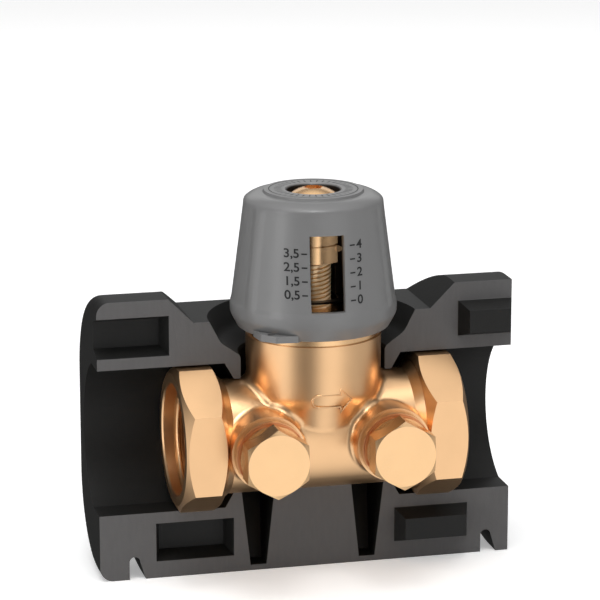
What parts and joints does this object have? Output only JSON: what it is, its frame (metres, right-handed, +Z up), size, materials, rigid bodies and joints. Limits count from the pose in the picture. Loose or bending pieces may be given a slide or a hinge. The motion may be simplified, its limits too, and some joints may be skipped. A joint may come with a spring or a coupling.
{
  "type": "regulating shutoff valve",
  "caption": "Straight brass balancing and shutoff valve with female hexagon ends, plugged pressure bosses, a grey knob with a turns scale and the rear half of its insulation shell.",
  "frame": {"origin": "middle of the inlet mouth, where the pipe axis meets the face of the inlet hexagon", "axes": "+X along the pipe axis in the flow direction, +Z up the stem towards the knob, +Y towards the insulated back"},
  "size_m": [0.1261, 0.069, 0.1163],
  "materials": {
    "forged_brass": "sand-blasted forging",
    "turned_brass": "machined",
    "knob_grey": "moulded ABS, satin",
    "foam_black": "moulded closed-cell foam",
    "seal_rubber": "EPDM, matt",
    "seal_copper": "flat copper washer",
    "spring_steel": "phosphated spring steel"
  },
  "bodies": {
    "valve": {"valve_body": "forged_brass", "insulation_shell": "foam_black", "headwork": "turned_brass", "headwork_o_ring": "seal_rubber", "inlet_plug": "turned_brass", "inlet_plug_seal": "seal_copper", "outlet_plug": "turned_brass", "outlet_plug_seal": "seal_copper", "knob_snap_ring": "spring_steel"},
    "knob": {"knob": "knob_grey", "memory_bush": "turned_brass"},
    "stem": {"stem": "turned_brass", "indicator_ring": "turned_brass", "drive_head": "turned_brass"},
    "plunger": {"plunger": "turned_brass", "plunger_o_ring_lower": "seal_rubber", "plunger_o_ring_upper": "seal_rubber", "seat_disc": "seal_rubber", "disc_washer": "turned_brass", "disc_screw": "turned_brass", "stem_circlip": "spring_steel"},
    "memory_screw": {"memory_screw": "turned_brass"}
  },
  "joints": [
    {"name": "knob_turn", "type": "hinge", "parent": "valve", "child": "knob", "pos_m": [0.0425, 0, 0.05], "axis": [0, 0, 1], "range_deg": [-990, 450]},
    {"name": "stem_rise", "type": "slide", "parent": "knob", "child": "stem", "axis": [0, 0, 1], "range_m": [-0.01045, 0.00475]},
    {"name": "plunger_swivel", "type": "hinge", "parent": "stem", "child": "plunger", "pos_m": [0.0425, 0, 0.02], "axis": [0, 0, 1], "continuous": true},
    {"name": "memory_screw_turn", "type": "hinge", "parent": "knob", "child": "memory_screw", "pos_m": [0.0425, 0, 0.0715], "axis": [0, 0, 1], "range_deg": [0, 720]}
  ],
  "couplings": [
    {"joint": "knob_turn", "follows": "stem_rise", "rad_per_m": 1653.5}
  ]
}
